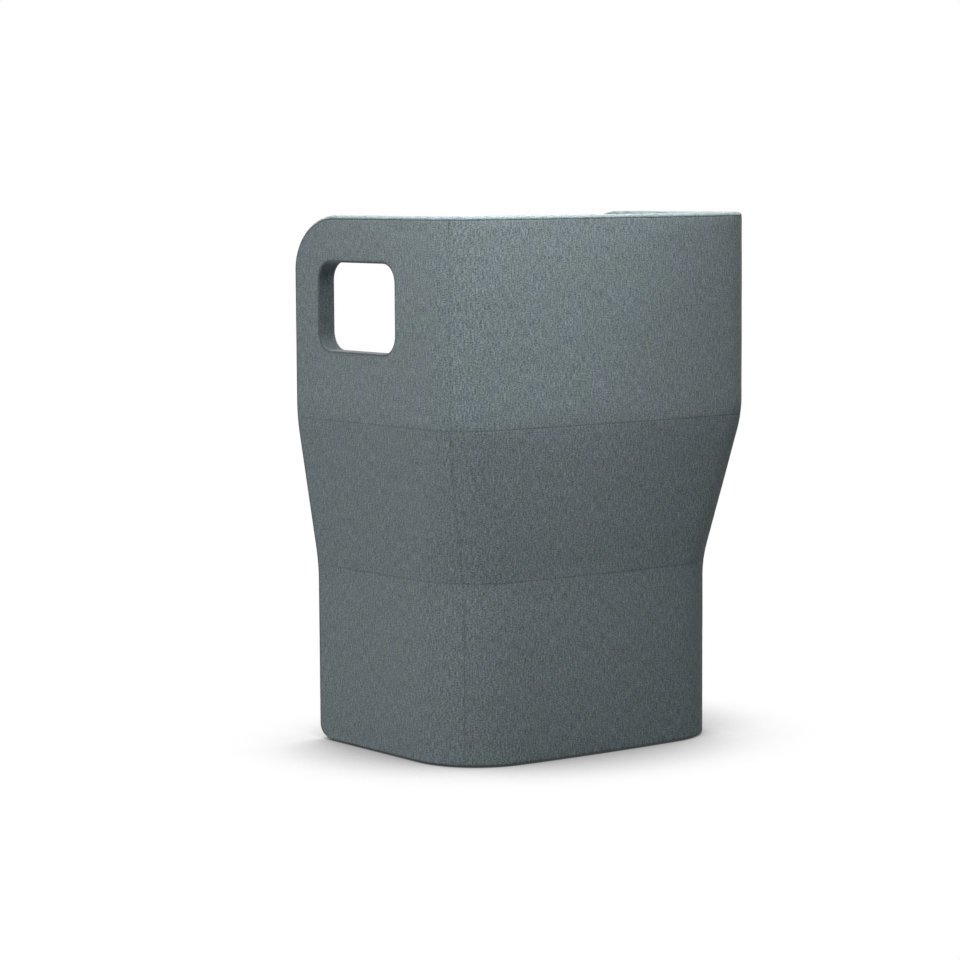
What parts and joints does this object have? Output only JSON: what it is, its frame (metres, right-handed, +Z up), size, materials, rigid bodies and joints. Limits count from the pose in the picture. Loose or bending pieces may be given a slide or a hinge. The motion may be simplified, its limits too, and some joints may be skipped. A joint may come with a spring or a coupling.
{
  "type": "acoustic high back lounge chair",
  "caption": "High-sided upholstered lounge chair: a U-shaped padded wall in three bands with a rounded window in each wing, round a seat cushion, on low levelling glides.",
  "frame": {"origin": "centre of the chair's bounding box, on the floor under the pads", "axes": "+X to the side, -Y out of the open front, +Y out of the back, +Z up"},
  "size_m": [0.96, 0.716, 1.35],
  "materials": {
    "wool_fabric": "woven wool melange, matt, blue-grey",
    "upholstery_foam": "cut polyurethane foam",
    "birch_plywood": "sanded, raw",
    "beech_timber": "planed, raw",
    "elastic_webbing": "woven elastic webbing, black",
    "black_nonwoven": "spunbonded dust cloth, matt black",
    "zinc_steel": "zinc plated",
    "black_plastic": "moulded nylon, satin black"
  },
  "bodies": {
    "chair": {"outer_side_panel_lower_right": "wool_fabric", "outer_side_panel_lower_left": "wool_fabric", "outer_back_panel_lower": "wool_fabric", "outer_side_panel_middle_right": "wool_fabric", "outer_side_panel_middle_left": "wool_fabric", "outer_back_panel_middle": "wool_fabric", "outer_side_panel_upper_right": "wool_fabric", "outer_side_panel_upper_left": "wool_fabric", "outer_back_panel_upper": "wool_fabric", "inner_cover_right": "wool_fabric", "inner_cover_left": "wool_fabric", "inner_cover_back": "wool_fabric", "edge_cover": "wool_fabric", "window_lining_right": "wool_fabric", "window_lining_left": "wool_fabric", "hem_strip": "wool_fabric", "side_foam_right": "upholstery_foam", "side_foam_left": "upholstery_foam", "back_foam": "upholstery_foam", "side_board_lower_right": "birch_plywood", "side_board_lower_left": "birch_plywood", "back_board_lower": "birch_plywood", "side_board_middle_right": "birch_plywood", "side_board_middle_left": "birch_plywood", "back_board_middle": "birch_plywood", "side_board_upper_right": "birch_plywood", "side_board_upper_left": "birch_plywood", "back_board_upper": "birch_plywood", "base_rail": "beech_timber", "lower_bend_rail": "beech_timber", "upper_bend_rail": "beech_timber", "seat_box_front": "birch_plywood", "seat_box_side_right": "birch_plywood", "seat_box_side_left": "birch_plywood", "seat_box_rear": "birch_plywood", "corner_block_right": "beech_timber", "corner_block_left": "beech_timber", "rear_cross_rail": "beech_timber", "dust_cover": "black_nonwoven", "front_foam": "upholstery_foam", "front_cover": "wool_fabric", "seat_webbing": "elastic_webbing", "seat_foam": "upholstery_foam", "seat_cover": "wool_fabric", "back_cushion_foam": "upholstery_foam", "back_cushion_cover": "wool_fabric", "glide_insert_front_right": "zinc_steel", "glide_insert_front_left": "zinc_steel", "glide_insert_rear_right": "zinc_steel", "glide_insert_rear_left": "zinc_steel"},
    "front_right_pad": {"glide_pad_front_right": "black_plastic"},
    "front_right_stud": {"glide_stud_front_right": "zinc_steel"},
    "front_left_pad": {"glide_pad_front_left": "black_plastic"},
    "front_left_stud": {"glide_stud_front_left": "zinc_steel"},
    "rear_right_pad": {"glide_pad_rear_right": "black_plastic"},
    "rear_right_stud": {"glide_stud_rear_right": "zinc_steel"},
    "rear_left_pad": {"glide_pad_rear_left": "black_plastic"},
    "rear_left_stud": {"glide_stud_rear_left": "zinc_steel"}
  },
  "joints": [
    {"name": "front_right_level", "type": "slide", "parent": "chair", "child": "front_right_pad", "axis": [0, 0, -1], "range_m": [0, 0.012]},
    {"name": "front_right_thread", "type": "hinge", "parent": "front_right_pad", "child": "front_right_stud", "pos_m": [0.3434, -0.2651, 0], "axis": [0, 0, -1], "range_deg": [0, 3460]},
    {"name": "front_left_level", "type": "slide", "parent": "chair", "child": "front_left_pad", "axis": [0, 0, -1], "range_m": [0, 0.012]},
    {"name": "front_left_thread", "type": "hinge", "parent": "front_left_pad", "child": "front_left_stud", "pos_m": [-0.3434, -0.2651, 0], "axis": [0, 0, -1], "range_deg": [0, 3460]},
    {"name": "rear_right_level", "type": "slide", "parent": "chair", "child": "rear_right_pad", "axis": [0, 0, -1], "range_m": [0, 0.012]},
    {"name": "rear_right_thread", "type": "hinge", "parent": "rear_right_pad", "child": "rear_right_stud", "pos_m": [0.2958, 0.173, 0], "axis": [0, 0, -1], "range_deg": [0, 3460]},
    {"name": "rear_left_level", "type": "slide", "parent": "chair", "child": "rear_left_pad", "axis": [0, 0, -1], "range_m": [0, 0.012]},
    {"name": "rear_left_thread", "type": "hinge", "parent": "rear_left_pad", "child": "rear_left_stud", "pos_m": [-0.2958, 0.173, 0], "axis": [0, 0, -1], "range_deg": [0, 3460]}
  ],
  "couplings": [
    {"joint": "front_right_thread", "follows": "front_right_level", "rad_per_m": 5026.5},
    {"joint": "front_left_thread", "follows": "front_left_level", "rad_per_m": 5026.5},
    {"joint": "rear_right_thread", "follows": "rear_right_level", "rad_per_m": 5026.5},
    {"joint": "rear_left_thread", "follows": "rear_left_level", "rad_per_m": 5026.5}
  ]
}
